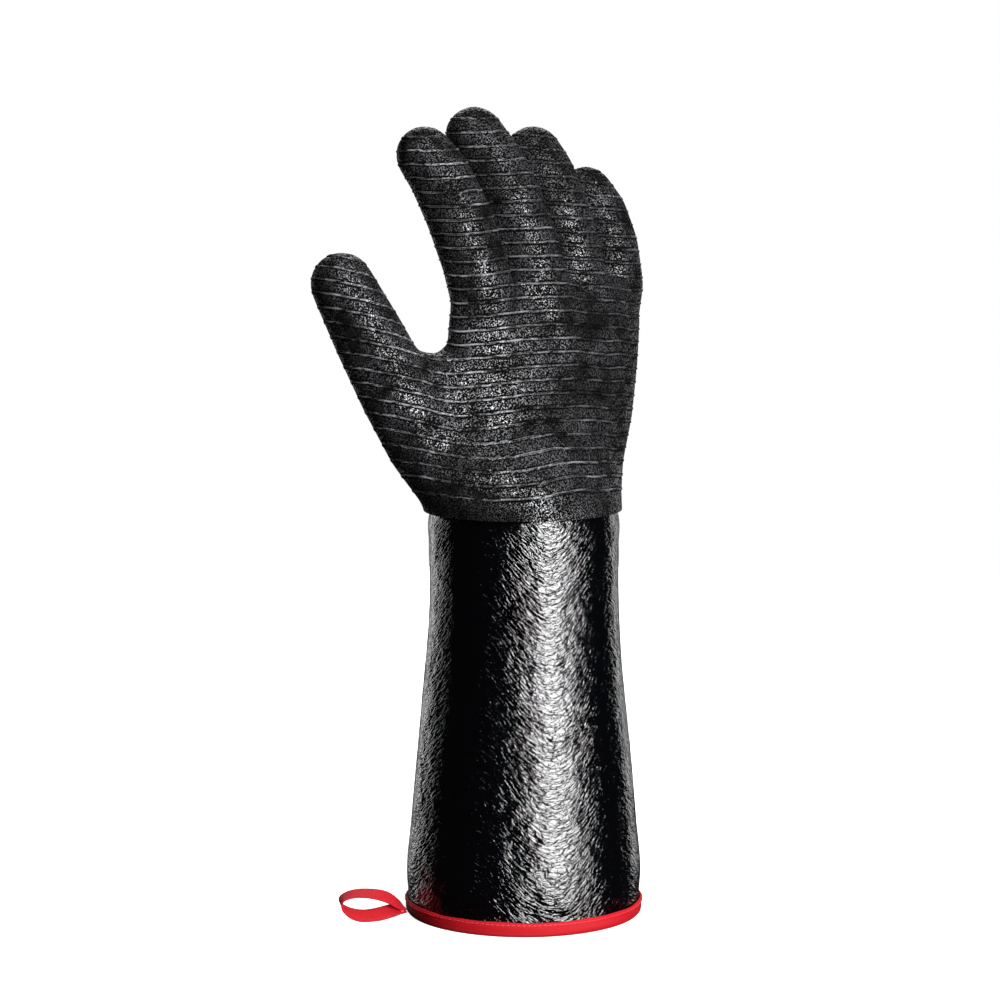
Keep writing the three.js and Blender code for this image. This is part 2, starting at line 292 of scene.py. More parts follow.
def hand_form(name, inset, voxel, rounds, shrink):
    """The whole hand as one skin, drawn in by inset. It is made thin, so that the fingers stay apart in the
    remesh, is smoothed to round the webs, and then grows back, by shrink more than it was thinned."""
    spare = inset + THIN_BY
    parts = [add_palm(spare)]
    for finger, facts in FINGERS.items():
        parts += limb(finger_bones(finger)[0], [radius * MM - spare for radius in facts["radii"]])
    places = [place + Vector(THUMB["flesh"]) * MM for place in thumb_bones()[0]]
    parts += limb(places, [radius * MM - spare for radius in THUMB["radii"]])
    lumps = {
        key: (CUFF + Vector(THUMB[key][:3]) * MM, THUMB[key][3] * MM - spare)
        for key in ("heel", "ball", "crotch", "web_thumb", "web_palm", "web_index")
    }
    lumps["knuckle"] = (places[0], THUMB["radii"][0] * MM - spare)
    for low, high in THUMB_LIMBS:
        parts += limb((lumps[low][0], lumps[high][0]), (lumps[low][1], lumps[high][1]))
    hand = settle(join(parts, name))
    modify(hand, "REMESH", mode="VOXEL", voxel_size=voxel, adaptivity=0)
    modify(hand, "SMOOTH", factor=0.5, iterations=rounds)
    modify(hand, "DISPLACE", strength=spare - inset + shrink, mid_level=0)
    return hand


# ---------------------------------------------------------------- ribs

RIB_PITCH = 7.1 * MM
RIB_FIRST = HEM + 10.5 * MM
RIB_COUNT = 30
RIB_HALF = 0.35 * MM
RIB_FOOT = 0.9 * MM
RIB_RISE = 0.34 * MM
RIB_DIP = 0.26 * MM
ON_LINE = 0.01 * MM


def soft_step(x, place, width):
    """The integral of a smooth step: 0 before place, and x minus place after it."""
    return width * np.log1p(np.exp(np.clip((x - place) / width, -40, 40)))


def rib_lift(co):
    """How far a rib stands above its level. Ribs fall along the thumb, rise over the palm and fall again."""
    x = co[:, 0] / MM
    y = co[:, 1] / MM
    lift = -0.28 * (x + 48) + 0.36 * soft_step(x, -48, 4) - 0.18 * soft_step(x, 5, 5)
    return (lift + 0.35 * np.sin(x / 6.1 + y / 9) + 0.12 * np.sin(x / 2.7 - y / 4)) * MM


def add_ribs(hand):
    """Raises thin ribs on the skin, with a groove on both sides. The skin is sheared so that each rib is level,
    cut along each rib's edges, and the cut lines are moved out or in."""
    co = points_of(hand)
    co[:, 2] -= rib_lift(co)
    set_points(hand, co)
    levels = [RIB_FIRST + RIB_PITCH * i for i in range(RIB_COUNT)]
    select(hand, np.ones(len(hand.data.polygons), bool), "FACE")
    for level in levels:
        for edge in (-RIB_FOOT, -RIB_HALF, RIB_HALF, RIB_FOOT):
            bpy.ops.mesh.select_all(action="SELECT")
            bpy.ops.mesh.bisect(plane_co=(0, 0, level + edge), plane_no=(0, 0, 1))
    leave_edit()
    heights = points_of(hand)[:, 2]
    away = np.abs(heights[:, None] - np.array(levels)).min(axis=1)
    ridge = np.abs(away - RIB_HALF) < ON_LINE
    foot = np.abs(away - RIB_FOOT) < ON_LINE
    for wanted, rise in ((ridge, RIB_RISE), (foot, -RIB_DIP)):
        select(hand, wanted, "VERT")
        bpy.ops.transform.shrink_fatten(value=rise)
        leave_edit()
    # The sandy material reads this mark: ridges are painted paler, partly as wear and partly as painted highlight, and
    # the grooves beside them are painted dark as shade.
    mark = hand.data.attributes.new("rib", "FLOAT", "POINT")
    mark.data.foreach_set("value", 0.5 + 0.5 * ridge.astype(np.float32) - 0.5 * foot)
    co = points_of(hand)
    co[:, 2] += rib_lift(co)
    set_points(hand, co)


# ---------------------------------------------------------------- splitting the hand at its joints

WRIST_END = 268 * MM
KNUCKLE_SEAM = 8 * MM
SEAM_REACH = 8 * MM
HEM_CLEAR = 5 * MM
HEM_RAMP = 4 * MM
TIP_ZONE = {"finger": 6 * MM, "thumb": 11 * MM}


def digit_plan():
    """For each digit: its line, its seams as (point, direction) and its zones as (body, body, start, end)."""
    plan = {}
    for name in FINGERS:
        places, bones = finger_bones(name)
        knuckle, middle, tip_joint = places[1:4]
        first = knuckle - bones[0] * KNUCKLE_SEAM
        second = (knuckle + middle) / 2
        third = (middle + tip_joint) / 2
        last = tip_joint + bones[2] * TIP_ZONE["finger"]
        plan[name] = {
            "line": places[1:],
            "seams": [(first, bones[0]), (second, bones[0]), (third, bones[1])],
            "zones": [
                ("base", "hand", f"{name}_proximal", first, second),
                ("middle", f"{name}_proximal", f"{name}_middle", second, third),
                ("tip", f"{name}_middle", f"{name}_distal", third, last),
            ],
        }
    places, bones = thumb_bones()
    seam = CUFF + Vector(THUMB["seam"]) * MM
    facing = Vector(THUMB["seam_faces"]).normalized()
    second = places[0].lerp(places[1], 0.8)
    plan["thumb"] = {
        "line": places,
        "seams": [(seam, facing), (second, bones[0])],
        "zones": [
            ("base", "hand", "thumb_proximal", seam, seam + facing * THUMB["zone"] * MM),
            ("tip", "thumb_proximal", "thumb_distal", second, places[1] + bones[0] * TIP_ZONE["thumb"]),
        ],
    }
    return plan


PLAN = digit_plan()


def distance_to_line(co, line):
    nearest = np.full(len(co), np.inf)
    for low, high in zip(line, line[1:]):
        low, span = np.array(low), np.array(high - low)
        share = np.clip((co - low) @ span / (span @ span), 0, 1)
        nearest = np.minimum(nearest, np.linalg.norm(co - low - share[:, None] * span, axis=1))
    return nearest


def nearest_digit(co):
    return np.argmin([distance_to_line(co, digit["line"]) for digit in PLAN.values()], axis=0)


def ahead(co, seam):
    return (co - np.array(seam[0])) @ np.array(seam[1])


def split_hand(hand, layer):
    """Cuts the skin into the wrist, the hand and each length of each digit."""
    pieces = {}
    cut(hand, (0, 0, HEM), (0, 0, 1), keep_above=True)
    for number, (name, digit) in enumerate(PLAN.items()):
        seam = digit["seams"][0]
        centres = face_centres(hand)
        mine = nearest_digit(centres) == number
        cut(hand, *seam, wanted=mine & (np.abs(ahead(centres, seam)) < SEAM_REACH))
        centres = face_centres(hand)
        mine = nearest_digit(centres) == number
        rest = take(hand, mine & (ahead(centres, seam) > 0), f"{layer}_{name}")
        zones = digit["zones"]
        for zone, later in zip(zones, digit["seams"][1:]):
            cut(rest, *later)
            beyond = ahead(face_centres(rest), later) > 0
            further = take(rest, beyond, f"{layer}_{name}")
            rest.name = rest.data.name = f"{layer}_{name}_{zone[0]}"
            pieces[name, zone[0]] = rest
            rest = further
        rest.name = rest.data.name = f"{layer}_{name}_{zones[-1][0]}"
        pieces[name, zones[-1][0]] = rest
    cut(hand, (0, 0, WRIST_END), (0, 0, 1))
    pieces["wrist", ""] = take(hand, face_centres(hand)[:, 2] < WRIST_END, f"{layer}_wrist")
    pieces["hand", ""] = hand
    hand.name = hand.data.name = f"{layer}_hand"
    return pieces


def thicken(piece, wall, hem_wall=None):
    """Gives a skin its wall, inwards. Where hem_wall is given, the wall is that thin just above the hem."""
    settings = {"thickness": wall, "offset": -1}
    if hem_wall:
        group = piece.vertex_groups.new(name="wall")
        for index, height in enumerate(points_of(piece)[:, 2]):
            share = min(1, max(0, (height - HEM - HEM_CLEAR) / HEM_RAMP))
            group.add([index], share, "REPLACE")
        settings |= {"vertex_group": "wall", "thickness_vertex_group": hem_wall / wall}
    modify(piece, "SOLIDIFY", **settings)
    piece.vertex_groups.clear()
    return smooth(piece)


def zone_of(name, part):
    return next(zone for zone in PLAN[name]["zones"] if zone[0] == part)


def dress_hand(pieces, layer, material):
    """Gives each piece its material, ties the hand's piece to the hand's body, and hides the frame's nodes that each
    piece stands for.
    """
    bones = {"base": "proximal", "middle": "middle", "tip": "distal"}
    for (name, part), piece in pieces.items():
        piece.data.materials.clear()
        piece.data.materials.append(material)
        if name == "wrist":
            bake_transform(piece)
            if layer == "coat":
                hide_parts("wrist_coat")
        elif name == "hand":
            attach(piece, "hand")
            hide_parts(f"hand_{layer}")
        else:
            _, before, after, start, end = zone_of(name, part)
            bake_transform(piece)
            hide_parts(f"{after}_{layer}")


# ---------------------------------------------------------------- sleeve

TUCK = 3 * MM
CALM_END = 6 * MM
CALM_TOP = 2 * MM
CALM_RAMP = 8 * MM
WRINKLE_RADIUS = 57


def sleeve_radius(heights, depth):
    """The sleeve's radius at each height, on a smooth line through the sections."""
    z = np.array([row[0] for row in SLEEVE]) * MM
    r = np.array([row[1] for row in SLEEVE]) * MM
    slopes = np.gradient(r, z)
    slot = np.clip(np.searchsorted(z, heights) - 1, 0, len(z) - 2)
    span = z[slot + 1] - z[slot]
    t = np.clip((heights - z[slot]) / span, 0, 1)
    low = (1 + 2 * t) * (1 - t) ** 2 * r[slot] + t * (1 - t) ** 2 * span * slopes[slot]
    high = t * t * (3 - 2 * t) * r[slot + 1] + t * t * (t - 1) * span * slopes[slot + 1]
    return low + high - depth


def sleeve_tube(name, low, high, depth, sides, rows):
    """An open tube of the sleeve's shape."""
    bpy.ops.mesh.primitive_cylinder_add(
        vertices=sides, radius=1, depth=high - low, end_fill_type="NOTHING", location=(0, 0, (low + high) / 2)
    )
    tube = settle(bpy.context.object)
    tube.name = tube.data.name = name
    upright = []
    for edge in tube.data.edges:
        ends = [tube.data.vertices[i].co.z for i in edge.vertices]
        upright.append(abs(ends[0] - ends[1]) > MM)
    bpy.ops.object.mode_set(mode="EDIT")
    bpy.ops.mesh.select_mode(type="EDGE")
    bpy.ops.mesh.select_all(action="DESELECT")
    leave_edit()
    tube.data.edges.foreach_set("select", upright)
    bpy.ops.object.mode_set(mode="EDIT")
    bpy.ops.mesh.subdivide(number_cuts=rows)
    leave_edit()
    co = points_of(tube)
    radius = sleeve_radius(co[:, 2], depth)
    co[:, :2] *= radius[:, None]
    set_points(tube, co)
    return tube


def crinkle(co):
    """Small dents and wrinkles of the rubber, over a few millimetres, in metres outwards."""
    angle = np.arctan2(co[:, 1], co[:, 0])
    z = co[:, 2] / MM
    arc = angle * WRINKLE_RADIUS
    dents = 0.10 * np.sin(3 * angle + z / 17) + 0.08 * np.sin(5 * angle - z / 11 + 1.3)
    ripples = 0.03 * np.sin(angle * 19 + z / 2.6) + 0.03 * np.sin(-angle * 23 + z / 2.3 + np.sin(arc / 9))
    ripples += 0.025 * np.sin(angle * 41 + z / 1.7 + 2 * np.sin(z / 21))
    return (dents + ripples) * MM


def make_sleeve():
    """The bare first dip, tucked up inside the hem and calm at both ends, where other pieces meet it."""
    tube = sleeve_tube("sleeve_shell", CUFF_TOP_INSIDE, HEM + TUCK, depth=0, sides=260, rows=150)
    co = points_of(tube)
    out = crinkle(co)
    calm = np.clip((co[:, 2] - CALM_END) / CALM_RAMP, 0, 1)
    calm *= np.clip((HEM + CALM_TOP - co[:, 2]) / CALM_RAMP, 0, 1)
    radius = np.linalg.norm(co[:, :2], axis=1)
    co[:, :2] *= (1 + out * calm / radius)[:, None]
    co[:, 0] += CUFF.x
    set_points(tube, co)
    modify(tube, "SOLIDIFY", thickness=FIRST_DIP, offset=-1)
    return smooth(tube)


def make_sleeve_liner():
    tube = sleeve_tube("sleeve_lining", CUFF_TOP_INSIDE, HEM, LINER_DEPTH - DIP_STEP, sides=160, rows=90)
    co = points_of(tube)
    co[:, 0] += CUFF.x
    set_points(tube, co)
    modify(tube, "SOLIDIFY", thickness=LINER_WALL, offset=-1)
    return smooth(tube)


# ---------------------------------------------------------------- tape, thread and loop

TAPE_WIDTH = 8 * MM
TAPE_RADIUS = 63.4 * MM
# The binding's cross-section: distance in from its outer face, and height, in millimetres.
BINDING = [
    (0.25, 7.75), (0.0, 7.2), (-0.05, 4.5), (0.0, 2.2), (0.3, 1.0), (0.95, 0.25), (1.9, 0.0), (3.25, 0.0),
    (4.6, 0.0), (5.55, 0.25), (6.2, 1.0), (6.5, 2.2), (6.5, 7.2), (6.25, 7.75), (5.8, 7.9), (5.4, 7.6),
    (5.3, 6.5), (5.3, 1.9), (4.9, 1.35), (1.7, 1.35), (1.25, 1.9), (1.2, 6.5), (1.15, 7.6), (0.75, 7.95),
]
BINDING_STEPS = 240
# What is less deep than this belongs to the tape's outer face.
FACE_DEPTH = 3 * MM


def outline(name, places):
    """A wire through the places, drawn by extruding one corner after another."""
    mesh = bpy.data.meshes.new(name)
    mesh.from_pydata([places[0]], [], [])
    wire = bpy.data.objects.new(name, mesh)
    bpy.context.scene.collection.objects.link(wire)
    pick(wire)
    bpy.ops.object.mode_set(mode="EDIT")
    bpy.ops.mesh.select_mode(type="VERT")
    bpy.ops.mesh.select_all(action="SELECT")
    for was, place in zip(places, places[1:]):
        bpy.ops.mesh.extrude_vertices_move(TRANSFORM_OT_translate={"value": Vector(place) - Vector(was)})
    bpy.ops.mesh.select_all(action="SELECT")
    leave_edit()
    return wire


def make_binding():
    """The tape folded over the cuff's edge, spun round the cuff from its cross-section."""
    places = [(TAPE_RADIUS - inwards * MM, 0, height * MM) for inwards, height in BINDING]
    binding = outline("cuff_tape", places)
    bpy.ops.object.mode_set(mode="EDIT")
    bpy.ops.mesh.select_all(action="SELECT")
    bpy.ops.mesh.edge_face_add()
    bpy.ops.mesh.delete(type="ONLY_FACE")
    bpy.ops.mesh.select_all(action="SELECT")
    bpy.ops.mesh.spin(steps=BINDING_STEPS, angle=2 * math.pi, center=(0, 0, 0), axis=(0, 0, 1))
    bpy.ops.mesh.select_all(action="SELECT")
    bpy.ops.mesh.remove_doubles(threshold=0.02 * MM)
    bpy.ops.mesh.normals_make_consistent(inside=False)
    leave_edit()
    add_round_uv(binding)
    co = points_of(binding)
    angle = np.arctan2(co[:, 1], co[:, 0])
    up = co[:, 2] / TAPE_WIDTH
    co[:, 2] += up * (0.18 * np.sin(angle * 7 + 0.6) + 0.12 * np.sin(angle * 17)) * MM
    puff = 1 + 0.12 * MM / TAPE_RADIUS * np.sin(angle * STITCH_COUNT) * (up > 0.7)
    co[:, :2] *= puff[:, None]
    co[:, 0] += CUFF.x
    set_points(binding, co)
    return smooth(binding, 60)


def add_round_uv(obj):
    """A UV map in metres: along the tape round the cuff, and across the tape from the fold at its lower edge."""
    uv = obj.data.uv_layers.new(name="tape").data
    for face in obj.data.polygons:
        centre = math.atan2(face.center.y, face.center.x)
        for loop in face.loop_indices:
            place = obj.data.vertices[obj.data.loops[loop].vertex_index].co
            angle = math.atan2(place.y, place.x)
            if angle - centre > math.pi:
                angle -= 2 * math.pi
            if centre - angle > math.pi:
                angle += 2 * math.pi
            inwards = TAPE_RADIUS - math.hypot(place.x, place.y)
            uv[loop].uv = (angle * TAPE_RADIUS, place.z if inwards < FACE_DEPTH else -place.z)


STITCH_COUNT = 144
STITCH_HEIGHT = 6.7 * MM
STITCH_RADIUS = 63.75 * MM
STITCH_LENGTH = 2.4 * MM
STITCH_THICK = 0.62 * MM
STITCH_LEAN = math.radians(7)


def add_stitch(place, length, thick, rotation=(0, 0, 0)):
    bpy.ops.mesh.primitive_uv_sphere_add(
        segments=8, ring_count=6, radius=0.5, location=place, rotation=rotation
    )
    stitch = bpy.context.object
    stitch.scale = (thick, length, thick)
    return settle(stitch)


def make_thread():
    """One stitch, and its copies round the cuff."""
    start = (STITCH_RADIUS, 0, STITCH_HEIGHT)
    thread = add_stitch(start, STITCH_LENGTH, STITCH_THICK, rotation=(STITCH_LEAN, 0, 0))
    thread.name = thread.data.name = "cuff_stitches"
    bpy.ops.object.mode_set(mode="EDIT")
    bpy.ops.mesh.select_all(action="SELECT")
    last = 2 * math.pi * (STITCH_COUNT - 1) / STITCH_COUNT
    bpy.ops.mesh.spin(steps=STITCH_COUNT - 1, dupli=True, angle=last, center=(0, 0, 0), axis=(0, 0, 1))
    leave_edit()
    co = points_of(thread)
    co[:, 0] += CUFF.x
    set_points(thread, co)
    return smooth(thread, 80)


# The loop in millimetres and degrees: its wall, how far it is tipped up, how far its two ends lie apart along
# the hinge, and the length that its weave is laid out over. Then the tape's faces along and across.
LOOP = {"wall": 0.9, "rise": 17, "apart": 0.8, "weave": 95, "steps": 90, "across": 4}
# The tape's middle line from one end of the tab round to the other: out, up, and the tape's tilt in degrees.
LOOP_PATH = [
    (2.0, 0.5, 0), (6.0, 1.5, -26), (13.5, 3.8, -36), (22.3, 3.7, -26), (30.5, 2.0, -18), (35.6, -0.6, -10),
    (37.6, -3.4, 0), (35.6, -6.8, 18), (29.5, -8.8, 34), (22.5, -8.4, 42), (15.5, -5.8, 46), (9.5, -2.6, 42),
    (6.0, -1.1, 26), (2.0, -0.5, 0),
]


LINE_STEP = 0.01
# The bar of stitches: its place along the loop, its number of stitches, and their sizes in millimetres.
BAR_TACK = {"at": 0.96, "count": 13, "pitch": 0.5, "length": 2.2, "thick": 0.55, "lift": 0.1}


def loop_frame():
    """The loop's axes at its hinge: outwards, along the hinge and up."""
    joint = JOINTS["loop_swing"]
    along = -Vector(joint["axis"])
    flat = along.cross(Vector((0, 0, 1))).normalized()
    outwards = turned(flat, along, -LOOP["rise"])
    if outwards.dot(Vector(joint["pos_m"]) - CUFF) < 0:
        outwards = -outwards
    return Vector(joint["pos_m"]), outwards, along, outwards.cross(along)


def loop_line(t):
    """Out, up and tilt on a smooth line through the path, at t from 0 to 1."""
    path = np.array(LOOP_PATH)
    slopes = np.gradient(path, axis=0)
    place = t * (len(path) - 1)
    at = min(int(place), len(path) - 2)
    u = place - at
    low = (1 + 2 * u) * (1 - u) ** 2 * path[at] + u * (1 - u) ** 2 * slopes[at]
    return low + u * u * (3 - 2 * u) * path[at + 1] + u * u * (u - 1) * slopes[at + 1]


def loop_place(t):
    """The tape's middle, its direction and the direction across it, at t from 0 to 1."""
    base, outwards, along, up = loop_frame()
    out, height, tilt = loop_line(t)
    before = loop_line(max(0, t - LINE_STEP))
    after = loop_line(min(1, t + LINE_STEP))
    line = (outwards * (after[0] - before[0]) + up * (after[1] - before[1])).normalized()
    aside = LOOP["apart"] * (2 * t - 1)
    centre = base + (outwards * out + up * height + along * aside) * MM
    return centre, line, turned(along, line, tilt)


def make_loop():
    """The hanging loop: one length of tape, twisted as it goes round."""
    bpy.ops.mesh.primitive_grid_add(x_subdivisions=LOOP["across"], y_subdivisions=LOOP["steps"], size=1)
    loop = settle(bpy.context.object)
    loop.name = loop.data.name = "loop_tape"
    for vertex in loop.data.vertices:
        centre, _, across = loop_place(vertex.co.y + 0.5)
        vertex.co = centre + across * vertex.co.x * TAPE_WIDTH
    uv = loop.data.uv_layers.active or loop.data.uv_layers.new(name="tape")
    uv.name = "tape"
    for entry in uv.data:
        entry.uv = (entry.uv[1] * LOOP["weave"] * MM, entry.uv[0] * TAPE_WIDTH)
    loop.data.update()
    modify(loop, "SOLIDIFY", thickness=LOOP["wall"] * MM, offset=0)
    modify(loop, "BEVEL", width=0.2 * MM, segments=2, limit_method="ANGLE")
    return smooth(loop, 60)


def make_bar_tack():
    """Close stitches across the loop's tab."""
    centre, line, across = loop_place(BAR_TACK["at"])
    above = across.cross(line)
    if above.dot(loop_frame()[2]) < 0:
        above = -above
    turn = Matrix((line.cross(above), line, above)).transposed().to_euler()
    lifted = centre + above * (LOOP["wall"] / 2 + BAR_TACK["lift"]) * MM
    half = BAR_TACK["count"] // 2
    places = [lifted + across * (i - half) * BAR_TACK["pitch"] * MM for i in range(BAR_TACK["count"])]
    length = BAR_TACK["length"] * MM
    thick = BAR_TACK["thick"] * MM
    stitches = [add_stitch(place, length, thick, rotation=turn) for place in places]
    return smooth(join(stitches, "loop_stitches"), 80)


# ---------------------------------------------------------------- materials


def node(material, kind, links=None, **settings):
    """Adds a node. links feeds its inputs by name, from sockets or plain values."""
    made = material.node_tree.nodes.new(kind)
    for name, value in settings.items():
        setattr(made, name, value)
    for name, value in (links or {}).items():
        if isinstance(value, bpy.types.NodeSocket):
            material.node_tree.links.new(value, made.inputs[name])
        else:
            made.inputs[name].default_value = value
    return made


def start_material(name, colour, roughness, ior=1.5):
    material = bpy.data.materials.new(name)
    material.use_nodes = True
    shader = material.node_tree.nodes["Principled BSDF"]
    shader.inputs["Base Color"].default_value = to_linear(colour)
    shader.inputs["Roughness"].default_value = roughness
    shader.inputs["IOR"].default_value = ior
    return material, shader


def plug(material, socket, shader, name):
    material.node_tree.links.new(socket, shader.inputs[name])


def sandy_neoprene():
    """Sand-blown dipped neoprene: black rubber whose fine grit glints, with pits between the grains painted dark as
    shade, grain tops painted paler partly as glints, rib ridges painted paler as wear and painted highlight, and rib
    grooves painted dark as shade.
    """
    grit = 0.8 * MM
    patch = 16 * MM
    material, shader = start_material("sandy_neoprene", "#0d0d0e", 0.34, 1.55)
    place = node(material, "ShaderNodeTexCoord").outputs["Object"]
    grains = node(
        material, "ShaderNodeTexNoise", {"Vector": place, "Scale": 1 / grit, "Detail": 1.5, "Roughness": 0.5}
    ).outputs["Fac"]
    cloud = node(
        material, "ShaderNodeTexNoise", {"Vector": place, "Scale": 1 / patch, "Detail": 3.0, "Roughness": 0.6}
    ).outputs["Fac"]
    top = node(
        material, "ShaderNodeMapRange",
        {"Value": grains, "From Min": 0.49, "From Max": 0.63},
    ).outputs["Result"]
    worn = node(material, "ShaderNodeMapRange", {"Value": cloud, "From Min": 0.36, "From Max": 0.64})
    paler = node(material, "ShaderNodeMath", {0: top, 1: worn.outputs["Result"]}, operation="MULTIPLY")
    # Painted shade and glints: the pits between the grains are painted near black as shade, and the grain tops paler,
    # partly as painted glints.
    gritty = node(material, "ShaderNodeMixRGB", {"Fac": paler.outputs[0]})
    gritty.inputs["Color1"].default_value = to_linear("#030303")
    gritty.inputs["Color2"].default_value = to_linear("#303033")
    rib = node(material, "ShaderNodeAttribute", attribute_name="rib").outputs["Fac"]
    ridge = node(material, "ShaderNodeMapRange", {"Value": rib, "From Min": 0.7, "From Max": 1.0})
    side = node(material, "ShaderNodeSeparateXYZ", {"Vector": place}).outputs["X"]
    # Ridge paleness, part wear and part painted highlight, is strongest towards the thumb's side at -X and fades to a
    # quarter at +X.
    thumb_side_share = node(
        material, "ShaderNodeMapRange",
        {"Value": side, "From Min": -30 * MM, "From Max": 40 * MM, "To Min": 1.0, "To Max": 0.25},
    )
    ridge_pale_share = node(
        material, "ShaderNodeMath", {0: thumb_side_share.outputs["Result"], 1: worn.outputs["Result"]}, operation="MULTIPLY"
    )
    ridge_wear_and_highlight = node(
        material, "ShaderNodeMath", {0: ridge.outputs["Result"], 1: ridge_pale_share.outputs[0]}, operation="MULTIPLY"
    )
    # The ridges are painted paler: partly wear, partly the painted highlight that a raised ridge catches.
    ridges_worn_and_lit = node(material, "ShaderNodeMixRGB", {"Fac": ridge_wear_and_highlight.outputs[0], "Color1": gritty.outputs["Color"]})
    ridges_worn_and_lit.inputs["Color2"].default_value = to_linear("#6c6c70")
    groove = node(
        material, "ShaderNodeMapRange",
        {"Value": rib, "From Min": 0.1, "From Max": 0.4},
    ).outputs["Result"]
    # Painted shade: the grooves beside each rib are painted near black.
    final = node(material, "ShaderNodeMixRGB", {"Fac": groove, "Color2": ridges_worn_and_lit.outputs["Color"]})
    final.inputs["Color1"].default_value = to_linear("#020202")
    plug(material, final.outputs["Color"], shader, "Base Color")
    open_top = node(material, "ShaderNodeMath", {0: top, 1: groove}, operation="MULTIPLY")
    patchy = node(
        material, "ShaderNodeMapRange",
        {"Value": cloud, "From Min": 0.35, "From Max": 0.65, "To Min": 0.35, "To Max": 1.0},
    )
    gleam = node(
        material, "ShaderNodeMapRange",
        {"Value": open_top.outputs[0], "To Min": 0.02, "To Max": patchy.outputs["Result"]},
    )
    plug(material, gleam.outputs["Result"], shader, "Specular IOR Level")
    rough = node(
        material, "ShaderNodeMapRange",
        {"Value": open_top.outputs[0], "To Min": 0.9, "To Max": 0.33},
    )
    plug(material, rough.outputs["Result"], shader, "Roughness")
    bump = node(material, "ShaderNodeBump", {"Height": grains, "Strength": 1.0, "Distance": 0.3 * MM})
    plug(material, bump.outputs["Normal"], shader, "Normal")
    return material


def glossy_neoprene():
    """Dipped neoprene left bare: deep black and wet-looking, drawn into fine slanting wrinkles by the knit."""
    wrinkle = 2.3 * MM
    dent = 11 * MM
    scuffed = 30 * MM
    mean_radius = 52 * MM
    slant = 0.95
    folds = 4
    middle = math.radians(117.5)
    material, shader = start_material("glossy_neoprene", "#010102", 0.15, 1.46)
    place = node(material, "ShaderNodeTexCoord").outputs["Object"]
    parts = node(material, "ShaderNodeSeparateXYZ", {"Vector": place})
    across = node(material, "ShaderNodeMath", {0: parts.outputs["X"], 1: CUFF.x}, operation="SUBTRACT")
    bearing = node(
        material, "ShaderNodeMath",
        {0: parts.outputs["Y"], 1: across.outputs[0]}, operation="ARCTAN2",
    )
    turns = node(
        material, "ShaderNodeMath", {0: bearing.outputs[0], 1: folds, 2: folds * middle}, operation="MULTIPLY_ADD"
    )
    swing = node(material, "ShaderNodeMath", {0: turns.outputs[0]}, operation="COSINE")
    drop = node(
        material, "ShaderNodeMath", {0: swing.outputs[0], 1: slant * mean_radius / folds, 2: parts.outputs["Z"]},
        operation="MULTIPLY_ADD",
    )
    slanted = node(
        material, "ShaderNodeCombineXYZ", {"X": parts.outputs["X"], "Y": parts.outputs["Y"], "Z": drop.outputs[0]}
    )
    drawn = node(
        material, "ShaderNodeMapping",
        {"Vector": slanted.outputs["Vector"], "Scale": (0.58, 0.58, 1.4)},
    )
    waves = node(
        material, "ShaderNodeTexNoise",
        {"Vector": drawn.outputs["Vector"], "Scale": 1 / wrinkle, "Detail": 2.0, "Roughness": 0.5, "Distortion": 0.7},
    )
    dents = node(material, "ShaderNodeTexNoise", {"Vector": place, "Scale": 1 / dent, "Detail": 1.0})
    height = node(
        material, "ShaderNodeMath", {0: dents.outputs["Fac"], 1: 1.4, 2: waves.outputs["Fac"]}, operation="MULTIPLY_ADD"
    )
    bump = node(
        material, "ShaderNodeBump",
        {"Height": height.outputs[0], "Strength": 1.0, "Distance": 0.82 * MM},
    )
    plug(material, bump.outputs["Normal"], shader, "Normal")
    scuff = node(material, "ShaderNodeTexNoise", {"Vector": place, "Scale": 1 / scuffed, "Detail": 4.0})
    rough = node(
        material, "ShaderNodeMapRange",
        {"Value": scuff.outputs["Fac"], "To Min": 0.09, "To Max": 0.17},
    )
    plug(material, rough.outputs["Result"], shader, "Roughness")
    return material


def twill_tape():
    """Woven polyester tape in a herringbone: red yarns in diagonals that turn back, painted brighter on their tops as
    painted highlight and darker in the hollows between them as painted shade.
    """
    yarn = 1.1 * MM
    herringbone = 2.7 * MM
    material, shader = start_material("red_twill_tape", "#d81824", 0.62, 1.5)
    uv = node(material, "ShaderNodeUVMap", uv_map="tape")
    parts = node(material, "ShaderNodeSeparateXYZ", {"Vector": uv.outputs["UV"]})
    zigzag = node(material, "ShaderNodeMath", {0: parts.outputs["Y"], 1: herringbone}, operation="PINGPONG")
    slope = node(material, "ShaderNodeMath", {0: parts.outputs["X"], 1: zigzag.outputs[0]}, operation="ADD")
    turns = node(
        material, "ShaderNodeMath",
        {0: slope.outputs[0], 1: 2 * math.pi / yarn}, operation="MULTIPLY",
    )
    wave = node(material, "ShaderNodeMath", {0: turns.outputs[0]}, operation="SINE")
    level = node(
        material, "ShaderNodeMapRange",
        {"Value": wave.outputs[0], "From Min": -1.0, "From Max": 1.0},
    )
    # Painted light and shade: the colour follows the weave's height, brighter on the yarn tops and darker in the
    # hollows.
    tone = node(material, "ShaderNodeMixRGB", {"Fac": level.outputs["Result"]})
    tone.inputs["Color1"].default_value = to_linear("#5c0610")
    tone.inputs["Color2"].default_value = to_linear("#b4101b")
    plug(material, tone.outputs["Color"], shader, "Base Color")
    bump = node(
        material, "ShaderNodeBump",
        {"Height": level.outputs["Result"], "Strength": 0.7, "Distance": 0.2 * MM},
    )
    plug(material, bump.outputs["Normal"], shader, "Normal")
    shader.inputs["Specular IOR Level"].default_value = 0.15
    return material


